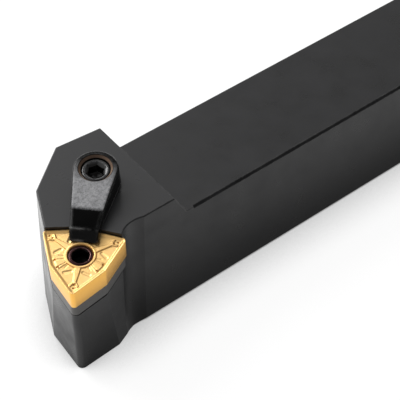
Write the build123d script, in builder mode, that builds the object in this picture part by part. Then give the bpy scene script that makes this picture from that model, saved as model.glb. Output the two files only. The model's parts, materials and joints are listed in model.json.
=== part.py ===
"""Turning tool holder: a square shank with a right-hand head, a trigon insert on a shim,
the pin that locates them, and the clamp that a double-ended screw pulls down on the insert.

Frame, in millimetres: +X from the tail to the cutting tip, +Y towards the side on which the
tip stands out, +Z up. The origin is on the underside, in the middle of the shank's width and
of the whole length.
"""

from build123d import *
import os
from math import cos, radians, sin, sqrt, tan

# Shank
overall_length = 150.0
shank_width = 25.0
shank_height = 25.0
shank_chamfer = 0.5

# Cutting tip, measured from the shank's middle and underside
tip_reach = 18.1
tip_height = 27.15

# Insert: trigon with 80 degree corners, double sided
inscribed_circle = 12.7
insert_thickness = 4.76
nose_radius = 0.8
obtuse_radius = 0.5
insert_bore = 5.16
land_width = 0.2
chip_groove_width = 0.6
chip_groove_depth = 0.3
island_diameter = 6.4
rib_width = 1.1
rib_reach = 7.2

# How the seat leans: the insert's corner bisector in plan, and its fall to the front and side
bisector_angle = 42.5
front_rake = 6.1
side_rake = 6.4

# Shim
shim_thickness = 3.6
shim_corner_radius = 1.1
shim_inset = 0.1
shim_edge = 0.25

# Pocket
wall_gap = 0.12
corner_relief = 0.9

# Head: its rise over the tip, and its corners back from the tip and out from the shank
head_rise = 3.1
back_corner_setback = 32.35
back_corner_step = 2.45
shoulder_setback = 21.5
shoulder_step = 3.4
bevel_angle = 36.7
back_edge_skew = 4.2
ramp_run = 3.2
head_chamfer = 0.2
body_nose_radius = 1.2
side_groove_radius = 6.2
side_groove_depth = 0.45

# Flanks below the insert: how far each stands back from the insert's side, and its relief
flank_inset = 0.2
front_relief = 6.1
outer_relief = 5.2
side_relief = 1.5

# Lock pin
pin_clearance = 0.06
pin_sink = 0.25
pin_collar_diameter = 6.4
pin_collar_height = 1.3
pin_foot_diameter = 4.9
pin_length = 19.0
pin_edge = 0.45
socket_width = 3.0
socket_depth = 2.6

# Clamp and its screw
screw_setback = 19.1
screw_diameter = 5.9
screw_length = 25.0
screw_sink = 0.7
screw_edge = 0.4
thread_clearance = 0.05
eye_diameter = 9.4
eye_height = 5.1
eye_mouth_diameter = 7.2
finger_width = 5.3
finger_tip_gap = 0.42
finger_thickness = 1.4
finger_face_run = 1.4
finger_hump_setback = 8.9
finger_hump_drop = 0.55
eye_flat_length = 4.2
clamp_draft = 3.0
clamp_edge = 0.7
clamp_lift_gap = 0.3
heel_length = 1.6
pad_length = 2.6
seat_gap = 0.1

# The seat frame: origin in the middle of the insert's top, x towards the cutting corner,
# z square to the insert
insert_radius = inscribed_circle / 2
corner_spacing = 120.0
corner_half_angle = 40.0
blunt_half_angle = corner_spacing - corner_half_angle
near_side_angle = 90 - corner_half_angle
far_side_angle = corner_spacing - near_side_angle
corner_radius_out = insert_radius / sin(radians(corner_half_angle))
nose_centre_out = corner_radius_out - nose_radius / sin(radians(corner_half_angle))

seat_normal = Vector(tan(radians(front_rake)), tan(radians(side_rake)), 1).normalized()
plan_bisector = Vector(cos(radians(bisector_angle)), sin(radians(bisector_angle)), 0)
seat_bisector = (plan_bisector - seat_normal * plan_bisector.dot(seat_normal)).normalized()

tip_x = overall_length / 2
head_height = tip_height + head_rise
nose_tip_fall = seat_bisector.Z * (nose_centre_out + nose_radius)
seat_origin = Vector(
    tip_x - nose_radius - nose_centre_out * seat_bisector.X,
    tip_reach - nose_radius - nose_centre_out * seat_bisector.Y,
    tip_height - nose_tip_fall,
)
seat = Plane(origin=seat_origin, x_dir=seat_bisector, z_dir=seat_normal)

# Heights in the seat frame
pocket_depth = insert_thickness + shim_thickness
head_top_fall = (head_height - seat_origin.Z) / seat_normal.Z
head_top_slope = -seat_bisector.Z / seat_normal.Z


def head_top_at(distance):
    """Height of the head's flat top in the seat frame, at a distance back from the insert."""
    return head_top_fall - head_top_slope * distance


def edge_direction(angle):
    """Unit vector in the seat's plane, at an angle from the cutting corner."""
    return seat.x_dir * cos(radians(angle)) + seat.y_dir * sin(radians(angle))


def trigon_points(radius):
    """Corners of the trigon whose sides all touch a circle of this radius."""
    sharp = radius / sin(radians(corner_half_angle))
    blunt = radius / sin(radians(blunt_half_angle))
    corners = []
    for k in range(3):
        for reach, turn in ((sharp, k), (blunt, k + 0.5)):
            angle = radians(corner_spacing * turn)
            corners.append((reach * cos(angle), reach * sin(angle)))
    return corners


def trigon_face(radius, sharp_round, blunt_round):
    """Trigon in the current sketch, with its six corners rounded."""
    corners = trigon_points(radius)
    Polygon(*corners, align=None)
    for k, (x, y) in enumerate(corners):
        rounding = sharp_round if k % 2 == 0 else blunt_round
        if rounding > 0:
            fillet(vertices().sort_by_distance(Vector(x, y, 0))[0], rounding)


def flank_plane(normal_angle, inset, relief):
    """Plane of a head flank under the insert: it passes a set distance inside the insert's
    side at the pocket's floor, and leans in towards the base by the relief angle."""
    outward = edge_direction(normal_angle)
    level = Vector(outward.X, outward.Y, 0).normalized()
    foot = seat.origin + outward * (insert_radius - inset) - seat.z_dir * pocket_depth
    return Plane(
        origin=foot,
        z_dir=level * cos(radians(relief)) - Vector(0, 0, 1) * sin(radians(relief)),
    )


# Holder body: head, root and shank in one piece of steel
half_width = shank_width / 2
back_corner = Vector(tip_x - back_corner_setback, -half_width - back_corner_step)
shoulder = Vector(tip_x - shoulder_setback, -half_width - shoulder_step)
skew = tan(radians(back_edge_skew))
back_foot = Vector(back_corner.X + back_corner_step * skew - ramp_run, -half_width)
bevel_reach = 1.5 * shoulder_setback
bevel_end = shoulder + Vector(cos(radians(bevel_angle)), sin(radians(bevel_angle))) * bevel_reach
side_flank = flank_plane(far_side_angle, flank_inset, side_relief)
side_runout = side_flank.origin.X - (
    (half_width - side_flank.origin.Y) * side_flank.z_dir.Y
    + (head_height - side_flank.origin.Z) * side_flank.z_dir.Z
) / side_flank.z_dir.X
groove_x = side_runout
groove_y = half_width - side_groove_depth + side_groove_radius
groove_half_chord = sqrt(side_groove_radius ** 2 - (side_groove_radius - side_groove_depth) ** 2)
root_front = groove_x + groove_half_chord
far_corner = Vector(tip_x + shoulder_setback, tip_reach + shoulder_setback)

with BuildPart() as holder_body:
    # Nose block, cut back by the four flanks
    with BuildSketch():
        with BuildLine():
            Polyline(
                (back_foot.X, -half_width),
                (back_corner.X, back_corner.Y),
                (shoulder.X, shoulder.Y),
                (bevel_end.X, bevel_end.Y),
                (far_corner.X, bevel_end.Y),
                (far_corner.X, far_corner.Y),
                (back_foot.X, far_corner.Y),
                close=True,
            )
        make_face()
    extrude(amount=head_height)
    split(bisect_by=flank_plane(near_side_angle, flank_inset, front_relief), keep=Keep.BOTTOM)
    split(bisect_by=side_flank, keep=Keep.BOTTOM)
    split(bisect_by=flank_plane(-near_side_angle, flank_inset, outer_relief), keep=Keep.BOTTOM)
    split(bisect_by=flank_plane(-far_side_angle, 0, 0), keep=Keep.BOTTOM)
    nose_edge = edges().filter_by(lambda e: abs(e.tangent_at(0.5).Z) > 0.9).sort_by(Axis.X)[-1]
    fillet(nose_edge, body_nose_radius)

    # Root block between the nose and the shank, its lower edges broken as the shank's are
    with BuildSketch(Plane.YZ.offset(back_foot.X)):
        with Locations((0, head_height / 2)):
            Rectangle(shank_width, head_height)
        chamfer(vertices().group_by(Axis.Y)[0], shank_chamfer)
    extrude(amount=root_front - back_foot.X)

    # Groove milled where the side flank runs out into the shank's side
    with BuildSketch():
        with Locations((groove_x, groove_y)):
            Circle(side_groove_radius)
    extrude(amount=head_height, mode=Mode.SUBTRACT)

    # Light break of the head's top edges
    chamfer(faces().sort_by(Axis.Z)[-1].edges(), head_chamfer)

    # Ramp from the head's top down to the shank's top
    ramp_normal = Vector(cos(radians(back_edge_skew)), -sin(radians(back_edge_skew)), 0)
    ramp_plane = Plane(
        origin=(back_corner.X, back_corner.Y, 0),
        x_dir=ramp_normal,
        z_dir=ramp_normal.cross(Vector(0, 0, 1)),
    )
    ramp_rise = head_height - shank_height
    with BuildSketch(ramp_plane):
        with BuildLine():
            Polyline(
                (-ramp_run, shank_height),
                (ramp_run, head_height + ramp_rise),
                (-3 * ramp_run - shank_width, head_height + ramp_rise),
                (-3 * ramp_run - shank_width, shank_height),
                close=True,
            )
        make_face()
    extrude(amount=2 * shank_width, both=True, mode=Mode.SUBTRACT)

    # Shank, with its long edges broken
    with BuildSketch(Plane.YZ.offset(-tip_x)):
        with Locations((0, shank_height / 2)):
            Rectangle(shank_width, shank_height)
        chamfer(vertices(), shank_chamfer)
    extrude(amount=tip_x + back_foot.X + ramp_run)

    # Pocket: floor parallel to the insert, two walls behind it, relieved corners
    pocket_floor = seat.offset(-pocket_depth)
    wall_corner = -(insert_radius + wall_gap) / sin(radians(blunt_half_angle))
    wall_end = wall_corner + tip_x * cos(radians(blunt_half_angle))
    wall_spread = tip_x * sin(radians(blunt_half_angle))
    with BuildSketch(pocket_floor):
        with BuildLine():
            Polyline(
                (wall_corner, 0),
                (wall_end, wall_spread),
                (tip_x, wall_spread),
                (tip_x, -wall_spread),
                (wall_end, -wall_spread),
                close=True,
            )
        make_face()
        with PolarLocations(
            nose_centre_out, 2, start_angle=corner_spacing, angular_range=2 * corner_spacing
        ):
            Circle(corner_relief)
    extrude(amount=pocket_depth + head_height, mode=Mode.SUBTRACT)

    # Holes square to the seat for the lock pin and the clamp screw
    with BuildSketch(seat):
        Circle(pin_foot_diameter / 2 + pin_clearance)
        with Locations((-screw_setback, 0)):
            Circle(screw_diameter / 2 + thread_clearance)
    extrude(amount=2 * head_height, both=True, mode=Mode.SUBTRACT)

# Shim, flat on the pocket's floor, with a counterbore for the pin's collar
with BuildPart() as shim:
    with BuildSketch(pocket_floor):
        trigon_face(insert_radius - shim_inset, shim_corner_radius, obtuse_radius)
        Circle(pin_foot_diameter / 2 + pin_clearance, mode=Mode.SUBTRACT)
    extrude(amount=shim_thickness)
    underside = faces().sort_by(Axis(seat.origin, seat.z_dir))[0]
    chamfer(underside.outer_wire().edges(), shim_edge)
    with BuildSketch(seat.offset(-insert_thickness)):
        Circle(pin_collar_diameter / 2 + pin_clearance)
    extrude(amount=-(pin_collar_height + seat_gap), mode=Mode.SUBTRACT)

# Insert, the same on both faces: a land round the edge, a chip groove inside it, and an
# island round the bore with a rib towards each corner
with BuildPart() as insert:
    with BuildSketch(seat.offset(-insert_thickness)):
        trigon_face(insert_radius, nose_radius, obtuse_radius)
    extrude(amount=insert_thickness)
    for face_level, into in ((0, -1), (-insert_thickness, 1)):
        with BuildSketch(seat.offset(face_level)):
            trigon_face(insert_radius - land_width, nose_radius - land_width, 0)
        with BuildSketch(seat.offset(face_level + into * chip_groove_depth)):
            trigon_face(insert_radius - land_width - chip_groove_width, 0, 0)
        loft(mode=Mode.SUBTRACT)
        with BuildSketch(seat.offset(face_level + into * chip_groove_depth)):
            Circle(island_diameter / 2)
            with PolarLocations(rib_reach / 2, 3):
                SlotOverall(rib_reach, rib_width)
        extrude(amount=-into * chip_groove_depth)
    with BuildSketch(seat):
        Circle(insert_bore / 2)
    extrude(amount=-insert_thickness, mode=Mode.SUBTRACT)

# Lock pin: head in the insert's bore, collar in the shim, foot in the holder
pin_head_radius = insert_bore / 2 - pin_clearance
collar_top = -insert_thickness - seat_gap
foot_end = -pin_length
with BuildPart() as lock_pin:
    with BuildSketch(Plane(origin=seat.origin, x_dir=seat.x_dir, z_dir=-seat.y_dir)):
        with BuildLine():
            Polyline(
                (0, foot_end),
                (pin_foot_diameter / 2 - pin_edge, foot_end),
                (pin_foot_diameter / 2, foot_end + pin_edge),
                (pin_foot_diameter / 2, collar_top - pin_collar_height + seat_gap),
                (pin_collar_diameter / 2, collar_top - pin_collar_height + seat_gap),
                (pin_collar_diameter / 2, collar_top),
                (pin_head_radius, collar_top),
                (pin_head_radius, -pin_sink - pin_edge),
                (pin_head_radius - pin_edge, -pin_sink),
                (0, -pin_sink),
                close=True,
            )
        make_face()
    revolve(axis=Axis(seat.origin, seat.z_dir))
    for end_level, into in ((-pin_sink, -1), (foot_end, 1)):
        with BuildSketch(seat.offset(end_level)):
            RegularPolygon(socket_width / 2, 6, major_radius=False)
        extrude(amount=into * socket_depth, mode=Mode.SUBTRACT)

# Clamp: forged finger, its outline drafted and cut to its side profile
eye_top = head_top_at(screw_setback) + eye_height
eye_radius = eye_diameter / 2
screw_top = eye_top - screw_sink
screw_end = screw_top - screw_length
screw_axis = seat.origin - seat.x_dir * screw_setback
screw_plane = Plane(origin=screw_axis, x_dir=seat.x_dir, z_dir=-seat.y_dir)
heel_back = -screw_setback - eye_radius - seat_gap
finger_tip = -(insert_bore / 2 + finger_tip_gap)
pad_back = finger_tip - pad_length
hump_top = eye_top - finger_hump_drop
finger_under = head_top_at(-pad_back) + clamp_lift_gap
clamp_base = head_top_at(screw_setback + eye_diameter)
with BuildPart() as clamp:
    with BuildSketch(seat.offset(clamp_base)):
        with BuildLine():
            grow = (eye_top - clamp_base) * tan(radians(clamp_draft))
            tip_half = finger_width / 2 + grow
            eye_out = eye_radius + grow
            taper = (eye_out - tip_half) / (screw_setback + finger_tip)
            lean = Vector(taper, sqrt(1 - taper * taper))
            eye_x = -screw_setback + eye_out * lean.X
            eye_y = eye_out * lean.Y
            Line((finger_tip + grow, tip_half), (eye_x, eye_y))
            ThreePointArc((eye_x, eye_y), (-screw_setback - eye_out, 0), (eye_x, -eye_y))
            Line((eye_x, -eye_y), (finger_tip + grow, -tip_half))
            Line((finger_tip + grow, -tip_half), (finger_tip + grow, tip_half))
        make_face()
    extrude(amount=eye_top - clamp_base, taper=clamp_draft)
    side = Plane(origin=seat.origin, x_dir=seat.x_dir, z_dir=-seat.y_dir)
    with BuildSketch(side):
        with BuildLine():
            Polyline(
                (finger_tip, seat_gap),
                (finger_tip - finger_face_run, finger_under + finger_thickness),
                (-finger_hump_setback, hump_top),
                (-screw_setback + eye_flat_length, eye_top),
                (heel_back - eye_radius, eye_top),
                (heel_back - eye_radius, head_top_at(-heel_back + eye_radius) + seat_gap),
                (heel_back + heel_length, head_top_at(-heel_back - heel_length) + seat_gap),
                (heel_back + heel_length, head_top_at(-heel_back - heel_length) + clamp_lift_gap),
                (pad_back, finger_under),
                (pad_back, seat_gap),
                close=True,
            )
        make_face()
    extrude(amount=shank_width, both=True, mode=Mode.INTERSECT)
    top_edges = faces().filter_by(lambda f: f.normal_at().dot(seat.z_dir) > 0.3).edges()
    fillet(top_edges.filter_by(lambda e: abs(e.tangent_at(0.1).dot(seat.y_dir)) < 0.99), clamp_edge)
    # Threaded bore with a countersunk mouth
    bore_radius = screw_diameter / 2 + thread_clearance
    with BuildSketch(screw_plane):
        with BuildLine():
            Polyline(
                (0, clamp_base - eye_height),
                (bore_radius, clamp_base - eye_height),
                (bore_radius, screw_top),
                (eye_mouth_diameter / 2, eye_top),
                (eye_mouth_diameter / 2, eye_top + eye_height),
                (0, eye_top + eye_height),
                close=True,
            )
        make_face()
    revolve(axis=Axis(screw_axis, seat.z_dir), mode=Mode.SUBTRACT)

# Clamp screw: a stud with a hexagon socket in each end, threaded both ways
with BuildPart() as clamp_screw:
    with BuildSketch(screw_plane):
        with BuildLine():
            Polyline(
                (0, screw_end),
                (screw_diameter / 2 - screw_edge, screw_end),
                (screw_diameter / 2, screw_end + screw_edge),
                (screw_diameter / 2, screw_top - screw_edge),
                (screw_diameter / 2 - screw_edge, screw_top),
                (0, screw_top),
                close=True,
            )
        make_face()
    revolve(axis=Axis(screw_axis, seat.z_dir))
    for end_level, into in ((screw_top, -1), (screw_end, 1)):
        with BuildSketch(seat.offset(end_level)):
            with Locations((-screw_setback, 0)):
                RegularPolygon(socket_width / 2, 6, major_radius=False)
        extrude(amount=into * socket_depth, mode=Mode.SUBTRACT)

holder_body.part.label = "holder_body"
shim.part.label = "shim"
insert.part.label = "insert"
lock_pin.part.label = "lock_pin"
clamp.part.label = "clamp"
clamp_screw.part.label = "clamp_screw"

os.makedirs("parts", exist_ok=True)
for piece in (holder_body, shim, insert, lock_pin, clamp, clamp_screw):
    export_step(piece.part, f"parts/{piece.part.label}.step")
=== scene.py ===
"""Looks of the turning tool holder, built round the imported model. Lengths here are metres,
except in the seat frame, which is in millimetres: its origin is the middle of the insert's
top, its x runs to the cutting corner and its z is square to the insert."""

import json
import math

import bmesh
import bpy
import numpy as np
from mathutils import Matrix, Vector


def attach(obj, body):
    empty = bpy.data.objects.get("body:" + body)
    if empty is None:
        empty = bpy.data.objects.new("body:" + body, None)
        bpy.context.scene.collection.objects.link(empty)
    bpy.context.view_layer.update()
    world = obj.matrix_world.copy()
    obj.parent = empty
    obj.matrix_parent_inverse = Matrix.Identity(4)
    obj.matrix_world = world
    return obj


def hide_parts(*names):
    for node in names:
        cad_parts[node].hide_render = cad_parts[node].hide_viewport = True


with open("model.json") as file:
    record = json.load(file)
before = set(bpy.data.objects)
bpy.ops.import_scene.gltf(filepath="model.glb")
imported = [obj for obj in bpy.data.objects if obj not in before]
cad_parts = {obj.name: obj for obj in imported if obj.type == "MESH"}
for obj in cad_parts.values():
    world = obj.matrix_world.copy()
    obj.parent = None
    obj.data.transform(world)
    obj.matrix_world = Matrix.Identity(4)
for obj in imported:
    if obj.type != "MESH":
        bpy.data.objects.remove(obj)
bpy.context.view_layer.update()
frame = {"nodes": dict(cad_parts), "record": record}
record = frame["record"]
nodes = frame["nodes"]

# ---------------------------------------------------------------- seat frame, from the record
MM = 0.001
PIN_SINK = 0.25


def mount(name):
    """A mount's place and axis, as vectors."""
    found = next(m for m in record["mounts"] if m["name"] == name)
    return Vector(found["pos_m"]), Vector(found["axis"]).normalized()


pin_top, seat_z = mount("lock_pin_socket")
screw_top, _ = mount("clamp_screw_socket")
_, seat_x = mount("cutting_corner")
seat_y = seat_z.cross(seat_x).normalized()
seat_origin = pin_top + seat_z * PIN_SINK * MM
SEAT = np.array([seat_x, seat_y, seat_z])
SCREW_X = (screw_top - seat_origin).dot(seat_x) / MM
SCREW_TOP = (screw_top - seat_origin).dot(seat_z) / MM


def seat_point(x, y, z):
    """Points given in the seat frame, in millimetres, as metres in the part's frame."""
    local = np.stack(np.broadcast_arrays(x, y, z), axis=-1)
    return np.array(seat_origin) + MM * local @ SEAT


# ---------------------------------------------------------------- meshes from grids of points
# Both in metres: points this near become one, and shorter edges go.
MERGE_DISTANCE = 1e-7
LEAST_EDGE = 1e-8


def ring_mesh(name, points, close_rows=False, crease=None, values=None):
    """A mesh of rings: each row of the grid is one closed ring, and neighbouring rings are
    joined by quads. A ring that has shrunk to one point becomes a single vertex. Edges
    sharper than the crease angle, in degrees, stay sharp. Values holds named numbers for
    each point, kept as attributes."""
    rows, columns, _ = points.shape
    spans = rows if close_rows else rows - 1
    row, column = np.meshgrid(np.arange(spans), np.arange(columns), indexing="ij")
    above, beside = (row + 1) % rows, (column + 1) % columns
    quads = np.stack([row * columns + column, row * columns + beside,
                      above * columns + beside, above * columns + column], axis=-1)
    mesh = bpy.data.meshes.new(name)
    mesh.from_pydata(points.reshape(-1, 3).tolist(), [], quads.reshape(-1, 4).tolist())
    for key, numbers in (values or {}).items():
        mesh.attributes.new(key, "FLOAT", "POINT").data.foreach_set("value", numbers.ravel())
    work = bmesh.new()
    work.from_mesh(mesh)
    bmesh.ops.remove_doubles(work, verts=work.verts, dist=MERGE_DISTANCE)
    bmesh.ops.dissolve_degenerate(work, edges=work.edges, dist=LEAST_EDGE)
    bmesh.ops.recalc_face_normals(work, faces=work.faces)
    work.to_mesh(mesh)
    work.free()
    mesh.shade_smooth()
    if crease:
        mesh.set_sharp_from_angle(angle=math.radians(crease))
    piece = bpy.data.objects.new(name, mesh)
    bpy.context.scene.collection.objects.link(piece)
    return piece


def smooth_step(value, low, high):
    """0 below low, 1 above high, and a smooth cubic between them."""
    t = np.clip((value - low) / (high - low), 0, 1)
    return t * t * (3 - 2 * t)


# ---------------------------------------------------------------- insert
IC_RADIUS = 6.35
THICKNESS = 4.76
NOSE_RADIUS = 0.8
OBTUSE_RADIUS = 0.5
LEAST_ROUNDING = 0.12
BORE_RADIUS = 2.58
BORE_EDGE_DEPTH = 0.2
BORE_EDGE_WIDTH = 0.16
EDGE_HONE = 0.05
LAND = 0.16
GROOVE_SLOPE = 0.7
FLOOR_DEPTH = 0.27
LEAST_STEP = 0.02

# Points along each arc and side of the outline, and rings across each part of a face. The
# slope's rings end at this share of its width from the land.
SHARP_STEPS = 16
OBTUSE_STEPS = 5
SIDE_STEPS = 50
FLOOR_RINGS = 65
SLOPE_RINGS = 12
SLOPE_END = 0.06
LAND_RINGS = 3


def trigon_ring(inset, nose_radius=NOSE_RADIUS):
    """Points at a distance inside the insert's outline: arcs round its three 80 degree
    corners and its three 160 degree corners, joined by straight sides."""
    touch = IC_RADIUS - inset
    ring = []
    for k in range(6):
        half_angle, steps, radius = ((80, OBTUSE_STEPS, OBTUSE_RADIUS) if k % 2
                                     else (40, SHARP_STEPS, nose_radius))
        rounding = max(radius - inset, LEAST_ROUNDING)
        reach = (touch - rounding) / math.sin(math.radians(half_angle))
        turn = np.radians(np.linspace(half_angle - 90, 90 - half_angle, steps) + 60 * k)
        heading = math.radians(60 * k)
        centre = reach * np.array([math.cos(heading), math.sin(heading)])
        ring.append(centre + rounding * np.stack([np.cos(turn), np.sin(turn)], axis=-1))
    share = np.linspace(0, 1, SIDE_STEPS + 2)[1:-1, None]
    sides = [ring[k][-1] + (ring[(k + 1) % 6][0] - ring[k][-1]) * share for k in range(6)]
    return np.concatenate([part for pair in zip(ring, sides) for part in pair])


def ridge(x, y, start, end, half_width):
    """1 along the straight line from start to end, falling to 0 at half_width from it."""
    run = np.subtract(end, start)
    along = np.clip(((x - start[0]) * run[0] + (y - start[1]) * run[1]) / (run @ run), 0, 1)
    away = np.hypot(x - start[0] - along * run[0], y - start[1] - along * run[1])
    return 1 - smooth_step(away, RIDGE_TOP * half_width, half_width)


def polar(radius, degrees):
    """A place at a radius and at an angle from a cutting corner's middle line."""
    return radius * math.cos(math.radians(degrees)), radius * math.sin(math.radians(degrees))


# Chip breaker. A line has its start, its end and its half-width; places are outwards and
# across from the middle line of a cutting corner, or from a side's for pad and pad groove.
# The relief comes in where the groove is this deep, and a ridge is flat over this share.
RELIEF_FROM = 0.6 * FLOOR_DEPTH
RIDGE_TOP = 0.35
SOFT_EDGE = 0.3
SPOKE_HEIGHT = 0.22
SPOKE_HALF_WIDTH = 0.62
SPOKE_TAPER = 0.09
SPOKE_TAPER_START = 4.2
SPOKE_EDGE = 0.2
SPOKE_END = 7.15
PRONG_HEIGHT = 0.2
PRONG = ((6.75, 0.3), (7.45, 0.75), 0.26)
PAD_HEIGHT = 0.12
PAD_SPREAD = 0.29
PAD_END = 5.35
RING_RADIUS = 3.05
RING_EDGE = 0.2
RING_SINK = 0.02
SLANT_PIT_DEPTH = 0.11
SLANT_PIT = (polar(4.2, 17), polar(5.1, 29), 0.46)
PAD_PIT_DEPTH = 0.3
PAD_PIT = (polar(5.1, 49), polar(5.2, 50), 0.27)
DIMPLE_DEPTH = 0.18
DIMPLES = (((7.1, 0), (7.2, 0), 0.2), ((7.95, 0.1), (8.0, 0.1), 0.17))
NOTCH_DEPTH = 0.06
NOTCH = (polar(3.3, 38), polar(4.3, 37), 0.13)
PAD_GROOVE_DEPTH = 0.08
PAD_GROOVE = ((3.2, 0.5), (4.9, 0.85), 0.14)


def chip_relief(x, y):
    """Height of the chip breaker over its floor. Each cutting corner has a forked spoke, two
    slanting pits, two notches and a pair of dimples, and each side has a raised pad with two
    grooves and a pit at either end. A ring stands round the bore. All of it is the same at
    the three corners, and mirrored about each corner's middle line."""
    sector = np.mod(np.arctan2(y, x) + np.pi / 3, 2 * np.pi / 3) - np.pi / 3
    radius = np.hypot(x, y)
    u = radius * np.cos(sector)
    v = np.abs(radius * np.sin(sector))
    from_side = np.pi / 3 - np.abs(sector)
    out, across = radius * np.cos(from_side), radius * np.sin(from_side)
    spoke_half_width = SPOKE_HALF_WIDTH - SPOKE_TAPER * (u - SPOKE_TAPER_START)
    spoke = (smooth_step(spoke_half_width - v, 0, SPOKE_EDGE)
             * smooth_step(SPOKE_END - u, 0, SOFT_EDGE))
    pad = (smooth_step(PAD_SPREAD * out - across, 0, SOFT_EDGE)
           * smooth_step(PAD_END - out, 0, SOFT_EDGE))
    ring = 1 - smooth_step(radius, RING_RADIUS, RING_RADIUS + RING_EDGE)
    raised = np.maximum.reduce([SPOKE_HEIGHT * spoke, PRONG_HEIGHT * ridge(u, v, *PRONG),
                                PAD_HEIGHT * pad, (FLOOR_DEPTH - RING_SINK) * ring])
    cut = (SLANT_PIT_DEPTH * ridge(u, v, *SLANT_PIT)
           + PAD_PIT_DEPTH * ridge(u, v, *PAD_PIT)
           + DIMPLE_DEPTH * sum(ridge(u, v, *line) for line in DIMPLES)
           + NOTCH_DEPTH * ridge(u, v, *NOTCH)
           + PAD_GROOVE_DEPTH * ridge(out, across, *PAD_GROOVE))
    return raised - (1 - ring) * cut


def insert_face():
    """Rings of one face of the insert, from its bore to its edge: their points, and how far
    each lies below the cutting edges. Inside the groove the rings blend from the bore's
    circle to the outline."""
    insets = np.concatenate([LAND + GROOVE_SLOPE * np.linspace(1, SLOPE_END, SLOPE_RINGS),
                             np.linspace(LAND, EDGE_HONE, LAND_RINGS)])
    rim = np.stack([trigon_ring(inset) for inset in insets])
    rim_depth = FLOOR_DEPTH * smooth_step(insets, LAND, LAND + GROOVE_SLOPE)
    heading = np.arctan2(rim[0, :, 1], rim[0, :, 0])
    bore = BORE_RADIUS * np.stack([np.cos(heading), np.sin(heading)], axis=-1)
    share = np.linspace(0, 1, FLOOR_RINGS + 1)[:-1, None, None]
    plan = np.concatenate([bore + (rim[0] - bore) * share, rim])
    x, y = plan[..., 0], plan[..., 1]
    depth = np.concatenate([np.full(len(share), FLOOR_DEPTH), rim_depth])[:, None]
    lift = chip_relief(x, y) * smooth_step(depth, RELIEF_FROM, FLOOR_DEPTH)
    from_edge = BORE_RADIUS + BORE_EDGE_WIDTH - np.hypot(x, y)
    bore_edge = BORE_EDGE_DEPTH * smooth_step(from_edge, 0, BORE_EDGE_WIDTH)
    return plan, np.maximum(depth - lift, bore_edge)


def steepness(plan, depth):
    """How steeply the depth changes across a face, from its differences along and across the
    rings divided by the distances between their points."""
    across = np.roll(plan, -1, axis=1) - np.roll(plan, 1, axis=1)
    across_rise = np.roll(depth, -1, axis=1) - np.roll(depth, 1, axis=1)
    along = np.gradient(plan, axis=0)
    along_rise = np.gradient(depth, axis=0)
    return np.hypot(across_rise / np.maximum(np.linalg.norm(across, axis=-1), LEAST_STEP),
                    along_rise / np.maximum(np.linalg.norm(along, axis=-1), LEAST_STEP))


def build_insert():
    """One closed surface: over the top from bore to edge, down the sides, under the bottom
    and up the bore, the bottom a mirror image of the top. Steep marks the walls of the chip
    breaker, and flank the sides."""
    plan, depth = insert_face()
    hone = np.radians([30, 60, 90])
    plan = np.concatenate([plan, [trigon_ring(EDGE_HONE * (1 - math.sin(a))) for a in hone]])
    edge = np.repeat(EDGE_HONE * (1 - np.cos(hone))[:, None], plan.shape[1], axis=1)
    depth = np.concatenate([depth, edge])
    steep = steepness(plan, depth)
    steep[-len(hone) - LAND_RINGS + 1:] = 0  # the land and the honed edge
    flank = np.zeros_like(depth)
    flank[-1] = 1  # the last ring, from which the side drops
    level = np.concatenate([-depth, (depth - THICKNESS)[::-1]])
    plan = np.concatenate([plan, plan[::-1]])
    steep, flank = (np.concatenate([part, part[::-1]]) for part in (steep, flank))
    return ring_mesh("coated_insert", seat_point(plan[..., 0], plan[..., 1], level),
                     close_rows=True, crease=50, values={"steep": steep, "flank": flank})


# ---------------------------------------------------------------- shim
SHIM_THICKNESS = 3.6
SHIM_INSET = 0.1
SHIM_CORNER = 1.2
SHIM_RECESS_RADIUS = 3.26
SHIM_RECESS_DEPTH = 1.4
SHIM_BORE_RADIUS = 2.51
SHIM_BEVEL = 0.06
SHIM_UNDERCUT = 0.5
# Height of the band of black painted as shade on the side just above the cut, and its fade
SHIM_SHADE_HEIGHT = 0.14
SHIM_SHADE_FADE = 0.04


def build_shim():
    """A plate of the insert's outline with a bore and a round recess for the pin's collar, its
    upper edge broken and its lower edge cut back at 45 degrees. The cut and the foot of the
    side above it are painted black as shade, which leaves a dark line along the seat."""
    bottom, ledge = -THICKNESS - SHIM_THICKNESS, -THICKNESS - SHIM_RECESS_DEPTH
    foot = bottom + SHIM_UNDERCUT
    steps = [(SHIM_INSET + SHIM_BEVEL, -THICKNESS), (SHIM_INSET, -THICKNESS - SHIM_BEVEL),
             (SHIM_INSET, foot + (SHIM_SHADE_HEIGHT + SHIM_SHADE_FADE)), (SHIM_INSET, foot + SHIM_SHADE_HEIGHT),
             (SHIM_INSET, foot), (SHIM_INSET + SHIM_UNDERCUT, bottom)]
    rings = [trigon_ring(inset, SHIM_CORNER) for inset, _ in steps]
    heading = np.arctan2(rings[0][:, 1], rings[0][:, 0])
    circle = np.stack([np.cos(heading), np.sin(heading)], axis=-1)
    recess, bore = SHIM_RECESS_RADIUS * circle, SHIM_BORE_RADIUS * circle
    plan = np.stack([recess, *rings, bore, bore, recess])
    level = np.array([-THICKNESS, *[height for _, height in steps], bottom, ledge, ledge])[:, None]
    black = np.zeros(plan.shape[:2])
    black[4:7] = 1  # painted shade, from the top of the foot to the inner edge of the cut
    return ring_mesh("ground_shim", seat_point(plan[..., 0], plan[..., 1], level),
                     close_rows=True, crease=30, values={"inside": black})


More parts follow.
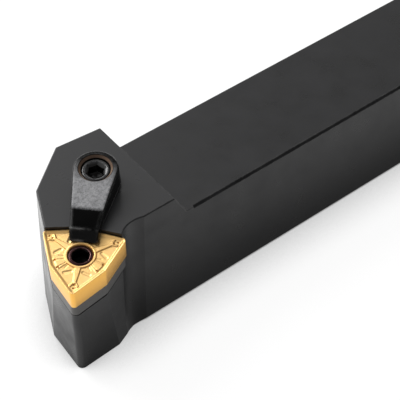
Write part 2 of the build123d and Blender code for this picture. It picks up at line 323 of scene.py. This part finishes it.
# ---------------------------------------------------------------- pin and screw
TURN_STEPS = 96
TURN = np.linspace(0, 2 * np.pi, TURN_STEPS, endpoint=False)
HEX_STRETCH = 1 / np.cos(np.mod(TURN, np.pi / 3) - np.pi / 6)
THREAD_STEPS = 8
THREAD_FLANK = (0.1, 0.9)
SOCKET_WIDTH = 3.0
SOCKET_DEPTH = 2.6
SOCKET_LIP = 0.24
# The black painted in a socket as shade fades out between its lip and this, past the flats
SOCKET_SHADE_END = 0.4
CONE_DROP = 0.6
CONE_SOFT = 0.1
POINT_WIDTH = 0.6
POINT_STEP = 0.1
POINT_DEPTH = 0.5


def round_rings(profile):
    """Radii and levels of round rings, from pairs of radius and level."""
    radius, level = np.array(profile, float).T
    return (np.repeat(radius[:, None], TURN_STEPS, axis=1),
            np.repeat(level[:, None], TURN_STEPS, axis=1))


def thread_rings(radius, depth, pitch, start, end, hand=1):
    """A screw thread: the radius dips by the depth once a pitch, along a helix, and the dips
    fade out within one pitch of either end. Hand is 1 for a right-hand thread."""
    step = math.copysign(pitch / THREAD_STEPS, end - start)
    level = np.arange(start, end, step)[:, None]
    wave = np.abs(2 * np.mod(level / pitch - hand * TURN / (2 * np.pi), 1) - 1)
    runs = np.minimum(np.abs(level - start), np.abs(level - end)) / pitch
    dip = depth * smooth_step(wave, *THREAD_FLANK) * np.clip(runs, 0, 1)
    return radius - dip, level + 0 * TURN


def socket_rings(edge_radius, level, inward, dish):
    """A hexagon socket in the middle of an end face: a countersink as wide as the dish, six
    walls, and a drilled point. Inward is the way down the socket, 1 or -1. Each step is a
    ring's size, its depth, and how far it is a hexagon."""
    flat, cone = SOCKET_WIDTH / 2, CONE_DROP * dish
    steps = [(edge_radius, 0.0, 0), (flat + dish, 0.0, 0),
             (flat + SOCKET_LIP, cone - CONE_SOFT, 0.5), (flat, cone + CONE_SOFT, 1),
             (flat, SOCKET_DEPTH, 1),
             (POINT_WIDTH * flat, SOCKET_DEPTH + POINT_STEP, 0), (0, SOCKET_DEPTH + POINT_DEPTH, 0)]
    radius = np.stack([size * (1 + hexagon * (HEX_STRETCH - 1)) for size, _, hexagon in steps])
    down = np.array([drop for _, drop, _ in steps])[:, None]
    return radius, level + inward * down + 0 * TURN


def turned_piece(name, middle_x, bands):
    """A turned piece on an axis through the seat frame's x axis: bands of rings, in order.
    Inside marks its sockets, which are painted black as shade."""
    radius = np.concatenate([band[0] for band in bands])
    level = np.concatenate([band[1] for band in bands])
    x, y = middle_x + radius * np.cos(TURN), radius * np.sin(TURN)
    flat = SOCKET_WIDTH / 2
    # painted shade: 1 down the socket, fading out past its lip
    inside = 1 - smooth_step(radius, flat + SOCKET_LIP, flat + SOCKET_SHADE_END)
    return ring_mesh(name, seat_point(x, y, level), crease=38, values={"inside": inside})


def arc_corner(radius, level, rounding, up):
    """Points round the rim of a round end face, as pairs of radius and level, from its face
    to its side. Up is 1 at an upper end and -1 at a lower one."""
    turn = np.radians([90, 70, 50, 30, 0])
    return [(radius - rounding + rounding * math.cos(a), level - up * rounding * (1 - math.sin(a)))
            for a in turn]


def build_screw():
    """Clamp screw: a right-hand thread above and a left-hand one below a plain waist, with
    a rounded rim and a hexagon socket at both ends."""
    radius, length, rim, dish = 2.95, 25.0, 0.35, 0.85
    depth, pitch, run_out = 0.32, 1.0, 0.5
    waist_radius, waist_end, thread_end, waist_share = 2.5, 0.7, 0.9, 0.52
    bottom = SCREW_TOP - length
    middle = SCREW_TOP - waist_share * length
    top_socket = socket_rings(radius - rim, SCREW_TOP, -1, dish)
    return turned_piece("threaded_clamp_screw", SCREW_X, [
        tuple(part[::-1] for part in top_socket),
        round_rings(arc_corner(radius, SCREW_TOP, rim, 1)),
        thread_rings(radius, depth, pitch, SCREW_TOP - run_out, middle + thread_end),
        round_rings([(waist_radius, middle + waist_end), (waist_radius, middle - waist_end)]),
        thread_rings(radius, depth, pitch, middle - thread_end, bottom + run_out, -1),
        round_rings(arc_corner(radius, bottom, rim, -1)[::-1]),
        socket_rings(radius - rim, bottom, 1, dish),
    ])


def build_pin():
    """Lock pin: a head in the insert's bore, a collar under the insert and a threaded foot,
    with a hexagon socket at both ends."""
    head, collar, foot, length, dish = 2.52, 3.2, 2.45, 19.0, 0.42
    head_rim, foot_rim, top_bevel, bottom_bevel = 0.3, 0.35, 0.15, 0.1
    depth, pitch, neck, run_out = 0.28, 0.8, 0.4, 0.5
    collar_gap, collar_height = 0.1, 1.2
    top, collar_top = -PIN_SINK, -THICKNESS - collar_gap
    collar_bottom = collar_top - collar_height
    top_socket = socket_rings(head - head_rim, top, -1, dish)
    return turned_piece("threaded_lock_pin", 0, [
        tuple(part[::-1] for part in top_socket),
        round_rings(arc_corner(head, top, head_rim, 1)),
        round_rings([(head, collar_top), (collar - top_bevel, collar_top),
                     (collar, collar_top - top_bevel), (collar, collar_bottom + bottom_bevel),
                     (collar - bottom_bevel, collar_bottom), (foot, collar_bottom)]),
        thread_rings(foot, depth, pitch, collar_bottom - neck, -length + run_out),
        round_rings(arc_corner(foot, -length, foot_rim, -1)[::-1]),
        socket_rings(foot - foot_rim, -length, 1, dish),
    ])


pieces = {
    "insert": (build_insert(), "holder", "gold_coating"),
    "shim": (build_shim(), "holder", "shim_grey"),
    "clamp_screw": (build_screw(), "clamp_screw", "screw_steel"),
    "lock_pin": (build_pin(), "lock_pin", "pin_steel"),
}
for node_name, (piece, body, slot) in pieces.items():
    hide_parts(node_name)
    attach(piece, body)


# ---------------------------------------------------------------- shader nodes and node groups

def add(tree, kind, inputs=None, **settings):
    """A node with its settings and its inputs, which are values, or sockets to link."""
    made = tree.nodes.new("ShaderNode" + kind)
    for key, value in settings.items():
        setattr(made, key, value)
    for key, value in (inputs or {}).items():
        if isinstance(value, bpy.types.NodeSocket):
            tree.links.new(value, made.inputs[key])
        else:
            made.inputs[key].default_value = value
    return made


def maths(tree, operation, *values):
    """The result of a Math node."""
    return add(tree, "Math", dict(enumerate(values)), operation=operation).outputs[0]


def vector_maths(tree, operation, output, *values):
    """The Vector or the Value that a vector math node puts out."""
    made = add(tree, "VectorMath", dict(enumerate(values)), operation=operation)
    return made.outputs[output]


def span(tree, value, low, high, source=(0.3, 0.7)):
    """A value moved from the source range, a noise's usual one by default, to low and high."""
    return add(tree, "MapRange", {"Value": value, "From Min": source[0], "From Max": source[1],
                                  "To Min": low, "To Max": high}).outputs["Result"]


def group(name, inputs, outputs):
    """A shader node group with named float, colour or vector sockets."""
    tree = bpy.data.node_groups.new(name, "ShaderNodeTree")
    for sockets, side in ((inputs, "INPUT"), (outputs, "OUTPUT")):
        for socket, (kind, value) in sockets.items():
            made = tree.interface.new_socket(name=socket, in_out=side,
                                             socket_type="NodeSocket" + kind)
            if value is not None:
                made.default_value = value
    return tree, tree.nodes.new("NodeGroupInput"), tree.nodes.new("NodeGroupOutput")


def satin_grain_group():
    """Fine blasted grain: a value that varies over a few millimetres, another that varies
    over tenths of one, and a normal that follows the fine one."""
    tree, taken, given = group(
        "satin_grain",
        {"Cloud size": ("Float", 0.012), "Grain size": ("Float", 0.0004),
         "Grain depth": ("Float", 4e-6), "Round": ("Float", 0.00025)},
        {"Clouds": ("Float", None), "Grain": ("Float", None), "Normal": ("Vector", None)})
    where = add(tree, "TexCoord").outputs["Object"]
    cloud_scale, grain_scale = (maths(tree, "DIVIDE", 1.0, taken.outputs[key])
                                for key in ("Cloud size", "Grain size"))
    clouds = add(tree, "TexNoise", {"Vector": where, "Scale": cloud_scale,
                                    "Detail": 3.0, "Roughness": 0.6})
    grain = add(tree, "TexNoise", {"Vector": where, "Scale": grain_scale,
                                   "Detail": 2.0, "Roughness": 0.55})
    round_edge = add(tree, "Bevel", {"Radius": taken.outputs["Round"]}, samples=6)
    bump = add(tree, "Bump", {"Strength": 1.0, "Distance": taken.outputs["Grain depth"],
                              "Height": grain.outputs["Fac"],
                              "Normal": round_edge.outputs["Normal"]})
    for key, socket in (("Clouds", clouds.outputs["Fac"]), ("Grain", grain.outputs["Fac"]),
                        ("Normal", bump.outputs["Normal"])):
        tree.links.new(socket, given.inputs[key])
    return tree


def edge_wear_and_highlight_group():
    """Where a finish has rubbed thin along sharp edges, and a painted highlight along them: how
    far a rounded normal leans away from the true one, broken up by a noise."""
    tree, taken, given = group(
        "edge_wear_and_highlight", {"Width": ("Float", 0.0003), "Patch size": ("Float", 0.002)},
        {"Mask": ("Float", None)})
    where = add(tree, "TexCoord").outputs["Object"]
    round_edge = add(tree, "Bevel", {"Radius": taken.outputs["Width"]}, samples=6)
    true_normal = add(tree, "NewGeometry").outputs["True Normal"]
    lean = vector_maths(tree, "DOT_PRODUCT", "Value", round_edge.outputs["Normal"], true_normal)
    edge = span(tree, lean, 0, 1, (0.99, 0.9))
    scale = maths(tree, "DIVIDE", 1.0, taken.outputs["Patch size"])
    patch = add(tree, "TexNoise", {"Vector": where, "Scale": scale,
                                   "Detail": 4.0, "Roughness": 0.7})
    rubbed_and_lit = span(tree, patch.outputs["Fac"], 0, 1, (0.35, 0.6))
    tree.links.new(maths(tree, "MULTIPLY", edge, rubbed_and_lit), given.inputs["Mask"])
    return tree


SATIN_GRAIN = satin_grain_group()
EDGE_WEAR_AND_HIGHLIGHT = edge_wear_and_highlight_group()


# ---------------------------------------------------------------- materials
# Black painted as shade in the sockets of the pin and screw, and along the foot of the shim
PAINTED_SHADE_BLACK = (0.004, 0.0035, 0.0035)

# Holder: a paler grey painted on the raised head as a highlight, its share, and the heights between
# which it comes in, in metres.
HEAD_HIGHLIGHT_GREY = (0.025, 0.025, 0.026)
HEAD_HIGHLIGHT_SHARE = 0.5
HEAD_HIGHLIGHT_RISE = (0.0255, 0.028)

# Clamp's blasted slope: the ranges over which it ends along the clamp, at the hump and at
# the eye, how far up it faces, and its noises as scale, detail and roughness.
PATCH_AT_HUMP = (-9.2 * MM, -8.3 * MM)
PATCH_AT_EYE = (-20.8 * MM, -14.3 * MM)
PATCH_UP = (0.8, 0.9)
PATCH_RAGGED = 0.6 * MM
PATCH_ROUGH = 0.55
SPECKLE = (4200.0, 3.0, 0.75)
MOTTLE = (1300.0, 2.0, 0.7)
SPECKLE_RANGE = (0.6, 1.4)
BLASTED_DARK = (0.12, 0.12, 0.123)
BLASTED_PALE = (0.46, 0.46, 0.47)

# Mouth of the clamp's eye: the radii over which it ends, and over which the brown comes in
# and goes. Black inside the brown is painted shade in the gap round the screw; black outside it is
# a line at the mouth's edge.
MOUTH_END = (3.55 * MM, 3.72 * MM)
BROWN_START = (3.06 * MM, 3.14 * MM)
BROWN_END = (3.46 * MM, 3.54 * MM)
MOUTH_BLACK = (0.001, 0.001, 0.001)
BROWN_DARK = (0.085, 0.052, 0.04)
BROWN_PALE = (0.27, 0.19, 0.13)

# Gold coating: its clouds, the steepness at which a wall is painted darker and redder as shade, and
# how far it does.
GOLD_DEEP = (0.96, 0.6, 0.21)
GOLD_PALE = (0.98, 0.65, 0.27)
GOLD_WALL_SHADE = (0.8, 0.36, 0.09)
GOLD_FLANK = (0.99, 0.54, 0.11)
STEEP_RANGE = (0.3, 1.3)
STEEP_SHARE = 0.7


def finish(name, **shader_values):
    """A material with its Principled shader's plain values set."""
    material = bpy.data.materials.new(name)
    material.use_nodes = True
    tree = material.node_tree
    shader = tree.nodes["Principled BSDF"]
    for key, value in shader_values.items():
        shader.inputs[key.replace("_", " ")].default_value = value
    return material, tree, shader


def use(tree, kind, **values):
    """A node group put into a material's tree."""
    made = tree.nodes.new("ShaderNodeGroup")
    made.node_tree = kind
    for key, value in values.items():
        made.inputs[key.replace("_", " ")].default_value = value
    return made


def blend(tree, factor, low, high):
    """A colour between low and high, by a factor."""
    mixed = add(tree, "Mix", {"Factor": factor}, data_type="RGBA")
    for socket, value in ((mixed.inputs[6], low), (mixed.inputs[7], high)):
        if isinstance(value, bpy.types.NodeSocket):
            tree.links.new(value, socket)
        else:
            socket.default_value = (*value, 1)
    return mixed.outputs[2]


def dark_steel(name, dark, pale, rubbed_and_lit, rough, specular=0.35, metallic=0.0, edge_line_width=0.0004,
               edge_line_patch=0.002, painted_shade=False, **grain_values):
    """Blackened steel: cloudy colour, satin grain, and a paler line along edges, partly rubbed
    wear and partly a painted highlight. With painted shade on, the piece is painted black as shade
    where its own attribute, inside, is 1."""
    material, tree, shader = finish(name, Metallic=metallic, Specular_IOR_Level=specular)
    grain = use(tree, SATIN_GRAIN, **grain_values)
    edge_line = use(tree, EDGE_WEAR_AND_HIGHLIGHT, Width=edge_line_width, Patch_size=edge_line_patch)
    clouds = grain.outputs["Clouds"]
    colour = blend(tree, span(tree, clouds, 0, 1), dark, pale)
    # paler line along edges: partly rubbed wear, partly a painted highlight
    colour = blend(tree, edge_line.outputs["Mask"], colour, rubbed_and_lit)
    # painted shade: black where the inside attribute is 1
    if painted_shade:
        inside = add(tree, "Attribute", attribute_name="inside").outputs["Fac"]
        colour = blend(tree, inside, colour, PAINTED_SHADE_BLACK)
    tree.links.new(colour, shader.inputs["Base Color"])
    tree.links.new(span(tree, clouds, *rough), shader.inputs["Roughness"])
    tree.links.new(grain.outputs["Normal"], shader.inputs["Normal"])
    return material, tree, shader, grain


def holder_steel():
    """Blackened steel, with a paler grey painted as a highlight on the machined head, which stands
    over the shank.
    """
    material, tree, shader, _ = dark_steel(
        "black_oxide", dark=(0.003, 0.003, 0.0034), pale=(0.009, 0.009, 0.01),
        rubbed_and_lit=(0.1, 0.099, 0.097), rough=(0.25, 0.42), edge_line_width=0.0006, Cloud_size=0.006)
    height = add(tree, "SeparateXYZ", {0: add(tree, "TexCoord").outputs["Object"]}).outputs["Z"]
    # painted highlight: the head, above the shank, is paler
    head = span(tree, height, 0, HEAD_HIGHLIGHT_SHARE, HEAD_HIGHLIGHT_RISE)
    colour = shader.inputs["Base Color"].links[0].from_socket
    tree.links.new(blend(tree, head, colour, HEAD_HIGHLIGHT_GREY), shader.inputs["Base Color"])
    return material


def clamp_patch(tree, where, grain):
    """1 on the blasted slope between the eye and the hump: where the surface faces up and
    its distance along the clamp, made ragged by the grain, is in range."""
    offset = vector_maths(tree, "SUBTRACT", "Vector", where, tuple(seat_origin))
    along = vector_maths(tree, "DOT_PRODUCT", "Value", offset, tuple(seat_x))
    facing = add(tree, "NewGeometry").outputs["True Normal"]
    up = vector_maths(tree, "DOT_PRODUCT", "Value", facing, tuple(seat_z))
    ragged = maths(tree, "MULTIPLY_ADD", grain, PATCH_RAGGED, along)
    patch = maths(tree, "MULTIPLY", span(tree, ragged, 1, 0, PATCH_AT_HUMP),
                  span(tree, ragged, 0, 1, PATCH_AT_EYE))
    return maths(tree, "MULTIPLY", patch, span(tree, up, 0, 1, PATCH_UP))


def blasted_grey(tree, where):
    """The speckled grey of the blasted slope, from a fine and a coarse noise."""
    speckle, mottle = (
        add(tree, "TexNoise", {"Vector": where, "Scale": scale, "Detail": detail,
                               "Roughness": roughness}).outputs["Fac"]
        for scale, detail, roughness in (SPECKLE, MOTTLE))
    both = maths(tree, "ADD", speckle, mottle)
    return blend(tree, span(tree, both, 0, 1, SPECKLE_RANGE), BLASTED_DARK, BLASTED_PALE)


def eye_tint(tree, where, clouds):
    """A mask of the mouth of the eye, by the distance from the screw's axis, and its colour:
    a brown heat tint between two black rings, the inner one painted shade in the gap round the
    screw."""
    from_screw = vector_maths(tree, "SUBTRACT", "Vector", where, tuple(screw_top))
    square = vector_maths(tree, "CROSS_PRODUCT", "Vector", from_screw, tuple(seat_z))
    radius = vector_maths(tree, "LENGTH", "Value", square)
    tint = blend(tree, span(tree, clouds, 0, 1), BROWN_DARK, BROWN_PALE)
    # black inside the brown is painted shade in the gap round the screw; black outside it is a line
    # at the mouth's edge
    for low, high, source in ((0, 1, BROWN_START), (1, 0, BROWN_END)):
        tint = blend(tree, span(tree, radius, low, high, source), MOUTH_BLACK, tint)
    return span(tree, radius, 1, 0, MOUTH_END), tint


def clamp_steel():
    """Blackened steel, with a pale blasted patch on the slope and a brown heat tint in the
    mouth of the eye, with black painted as shade in the gap round the screw."""
    material, tree, shader, grain = dark_steel(
        "clamp_steel", dark=(0.0015, 0.0015, 0.0015), pale=(0.004, 0.004, 0.004),
        rubbed_and_lit=(0.26, 0.26, 0.26), rough=(0.14, 0.2), specular=0.08, edge_line_width=0.0009,
        edge_line_patch=0.008, Grain_size=0.0003, Grain_depth=4e-6)
    colour, rough = (shader.inputs[key].links[0].from_socket for key in ("Base Color", "Roughness"))
    where = add(tree, "TexCoord").outputs["Object"]
    patch = clamp_patch(tree, where, grain.outputs["Grain"])
    colour = blend(tree, patch, colour, blasted_grey(tree, where))
    mouth, tint = eye_tint(tree, where, grain.outputs["Clouds"])
    tree.links.new(blend(tree, mouth, colour, tint), shader.inputs["Base Color"])
    dull = add(tree, "Mix", {"Factor": patch, "A": rough, "B": PATCH_ROUGH}).outputs[0]
    tree.links.new(dull, shader.inputs["Roughness"])
    return material


def gold_coating(name, carved):
    """Thin gold-coloured coating on sintered carbide: a fine grain, a little redder in its
    clouds and, where it is carved, on the flanks; the steep walls of the chip breaker are painted
    darker and redder as shade."""
    material, tree, shader = finish(name, Metallic=0.85, Specular_IOR_Level=0.5)
    grain = use(tree, SATIN_GRAIN, Cloud_size=0.003, Grain_size=0.00012, Grain_depth=2e-6,
                Round=0.00006)
    clouds = span(tree, grain.outputs["Clouds"], 0, 1)
    colour = blend(tree, clouds, GOLD_DEEP, GOLD_PALE)
    if carved:
        steep = add(tree, "Attribute", attribute_name="steep").outputs["Fac"]
        flank = add(tree, "Attribute", attribute_name="flank").outputs["Fac"]
        # painted shade: the steep walls of the chip breaker go darker and redder
        wall = span(tree, steep, 0, STEEP_SHARE, STEEP_RANGE)
        colour = blend(tree, wall, colour, GOLD_WALL_SHADE)
        colour = blend(tree, flank, colour, GOLD_FLANK)
    tree.links.new(colour, shader.inputs["Base Color"])
    tree.links.new(span(tree, grain.outputs["Grain"], 0.3, 0.4), shader.inputs["Roughness"])
    tree.links.new(grain.outputs["Normal"], shader.inputs["Normal"])
    return material


def wear_finish(piece, material):
    """The piece in this material alone."""
    piece.data.materials.clear()
    piece.data.materials.append(material)


shim_grey, *_ = dark_steel("shim_grey", dark=(0.075, 0.072, 0.069), pale=(0.11, 0.106, 0.1),
                           rubbed_and_lit=(0.2, 0.195, 0.19), rough=(0.34, 0.44), painted_shade=True)
pin_finish, *_ = dark_steel("pin_steel", dark=(0.018, 0.006, 0.007), pale=(0.03, 0.01, 0.011),
                            rubbed_and_lit=(0.4, 0.22, 0.2), rough=(0.22, 0.3), metallic=0.9, painted_shade=True)
screw_finish, *_ = dark_steel("screw_steel", dark=(0.006, 0.006, 0.006),
                              pale=(0.012, 0.012, 0.012), rubbed_and_lit=(0.22, 0.22, 0.23),
                              rough=(0.12, 0.17), specular=0.5, edge_line_width=0.0003, painted_shade=True)
black_oxide = holder_steel()
clamp_finish = clamp_steel()
carved_gold = gold_coating("gold_coating", True)
plain_gold = gold_coating("gold_plain", False)

for node_name, shown_finish, node_finish in (
        ("insert", carved_gold, plain_gold), ("shim", shim_grey, shim_grey),
        ("clamp_screw", screw_finish, screw_finish), ("lock_pin", pin_finish, pin_finish)):
    wear_finish(pieces[node_name][0], shown_finish)
    wear_finish(nodes[node_name], node_finish)
wear_finish(nodes["holder_body"], black_oxide)
wear_finish(nodes["clamp"], clamp_finish)

# ---------------------------------------------------------------- camera, lamps and floor
CAMERA_PLACE = Vector((0.189135, 0.188371, 0.241984))
CAMERA_BEARING = 49.3036
CAMERA_ELEVATION = 42.9691
CAMERA_ROLL = 0.4034
CAMERA_LENS = 138.30
SENSOR_WIDTH = 36
FARTHEST_SEEN = 10

# Lamps point at a place in the head. The soft side of the room is a bearing and an
# elevation, and the dark ceiling is where the sine of the elevation is in this range.
LIT = Vector((0.04, 0.0, 0.015))
SOFT_SIDE = (285, 35)
SOFT_LEVEL = 0.22
SOFT_SWING = 0.85
SOFT_LEAST = 0.2
DARK_CEILING = (0.93, 0.985)
DARK_LEVEL = 0.12

# Floor: its light by how open each place is, as the camera sees it and as steel mirrors it,
# and the light that steel mirrors from the side of low Y.
FLOOR_HALF = 2.0
FLOOR_DROP = 0.00005
FLOOR_WHITE = (0.85, 0.85, 0.85, 1)
CONTACT_DISTANCE = 0.022
SEEN_OPEN = (0.1, 0.73)
SEEN_LIGHT = (0.1, 1.12)
SEEN_SHARE = 0.82
MIRRORED_OPEN = (0.53, 0.92)
MIRRORED_LIGHT = (0.0, 1.3)
MIRRORED_SHARE = 0.6
LOW_SIDE = (-0.03, 0.02)
LOW_SIDE_LIGHT = 2.05


def aim(bearing, elevation):
    """The unit vector at a bearing from +X and an elevation, in degrees."""
    b, e = math.radians(bearing), math.radians(elevation)
    return math.cos(b) * math.cos(e), math.sin(b) * math.cos(e), math.sin(e)


def place_camera():
    """The scene's camera, by its place, bearing, elevation and roll."""
    data = bpy.data.cameras.new("camera")
    data.lens = CAMERA_LENS
    data.sensor_width = SENSOR_WIDTH
    data.clip_end = FARTHEST_SEEN
    camera = bpy.data.objects.new("camera", data)
    scene.collection.objects.link(camera)
    camera.matrix_world = (Matrix.Translation(CAMERA_PLACE)
                           @ Matrix.Rotation(math.radians(CAMERA_BEARING + 90), 4, "Z")
                           @ Matrix.Rotation(math.radians(90 - CAMERA_ELEVATION), 4, "X")
                           @ Matrix.Rotation(math.radians(CAMERA_ROLL), 4, "Z"))
    scene.camera = camera


def panel(name, bearing, elevation, distance, width, height, power):
    """A soft rectangular lamp seen from the head at a bearing from +X and an elevation, in
    degrees, and facing the head."""
    data = bpy.data.lights.new(name, "AREA")
    data.shape = "RECTANGLE"
    data.size, data.size_y, data.energy = width, height, power
    lamp = bpy.data.objects.new(name, data)
    scene.collection.objects.link(lamp)
    lamp.location = LIT + distance * Vector(aim(bearing, elevation))
    lamp.rotation_euler = (LIT - lamp.location).to_track_quat("-Z", "Y").to_euler()


def studio():
    """A soft room: brighter towards one side, with a darker patch of ceiling overhead, and
    plain white behind the object."""
    room = bpy.data.worlds.new("studio")
    room.use_nodes = True
    tree = room.node_tree
    heading = add(tree, "TexCoord").outputs["Generated"]
    height = add(tree, "SeparateXYZ", {0: heading}).outputs["Z"]
    side = vector_maths(tree, "DOT_PRODUCT", "Value", heading, aim(*SOFT_SIDE))
    level = maths(tree, "MULTIPLY_ADD", side, SOFT_SWING, SOFT_LEVEL)
    level = maths(tree, "MAXIMUM", level, SOFT_LEAST)
    level = maths(tree, "MULTIPLY", level, span(tree, height, 1.0, DARK_LEVEL, DARK_CEILING))
    seen = add(tree, "LightPath").outputs["Is Camera Ray"]
    level = add(tree, "Mix", {"Factor": seen, "A": level, "B": 1.0}).outputs[0]
    tree.links.new(level, tree.nodes["Background"].inputs["Strength"])
    tree.nodes["Background"].inputs["Color"].default_value = (1, 1, 1, 1)
    return room


def floor_finish():
    """White floor. The camera sees mostly a glow, with a painted shadow that darkens it near the
    object; mirrored rays meet mostly a glow with a painted shadow near the object and painted
    light, brighter than white, on the side of low Y; all other rays meet a plain matt white."""
    material, tree, shader = finish("floor_white", Base_Color=FLOOR_WHITE, Roughness=0.7)
    path = add(tree, "LightPath").outputs
    contact = add(tree, "AmbientOcclusion", {"Distance": CONTACT_DISTANCE}, samples=8).outputs["AO"]
    # painted shadow: the glow the camera sees darkens where the object closes in on the floor
    plain = span(tree, contact, *SEEN_LIGHT, SEEN_OPEN)
    place = add(tree, "NewGeometry").outputs["Position"]
    towards = add(tree, "SeparateXYZ", {0: place}).outputs["Y"]
    # for mirrored rays: painted shadow near the object, and painted light, brighter than white, on
    # the side of low Y
    mirrored = add(tree, "Mix", {"Factor": span(tree, towards, 1.0, 0.0, LOW_SIDE),
                                 "A": span(tree, contact, *MIRRORED_LIGHT, MIRRORED_OPEN),
                                 "B": LOW_SIDE_LIGHT}).outputs[0]
    level = add(tree, "Mix", {"Factor": path["Is Camera Ray"], "A": mirrored,
                              "B": plain}).outputs[0]
    lift = add(tree, "Emission", {"Color": (1, 1, 1, 1), "Strength": level})
    seen = maths(tree, "MULTIPLY", path["Is Camera Ray"], SEEN_SHARE)
    shown = maths(tree, "MULTIPLY_ADD", path["Is Glossy Ray"], MIRRORED_SHARE, seen)
    mixed = add(tree, "MixShader", {0: shown, 1: shader.outputs[0], 2: lift.outputs[0]})
    tree.links.new(mixed.outputs[0], tree.nodes["Material Output"].inputs["Surface"])
    return material


def lay_floor():
    """A wide square floor just under the object, kept out of its model."""
    corners = [(x * FLOOR_HALF, y * FLOOR_HALF, -FLOOR_DROP)
               for x, y in ((-1, -1), (1, -1), (1, 1), (-1, 1))]
    mesh = bpy.data.meshes.new("floor")
    mesh.from_pydata(corners, [], [(0, 1, 2, 3)])
    floor = bpy.data.objects.new("floor", mesh)
    scene.collection.objects.link(floor)
    wear_finish(floor, floor_finish())


scene = bpy.context.scene
place_camera()
panel("key", bearing=284, elevation=42, distance=0.8, width=0.5, height=0.5, power=4.2)
panel("back", bearing=250, elevation=42, distance=0.8, width=0.4, height=0.4, power=0.3)
scene.world = studio()
lay_floor()
scene.view_settings.view_transform = "Standard"
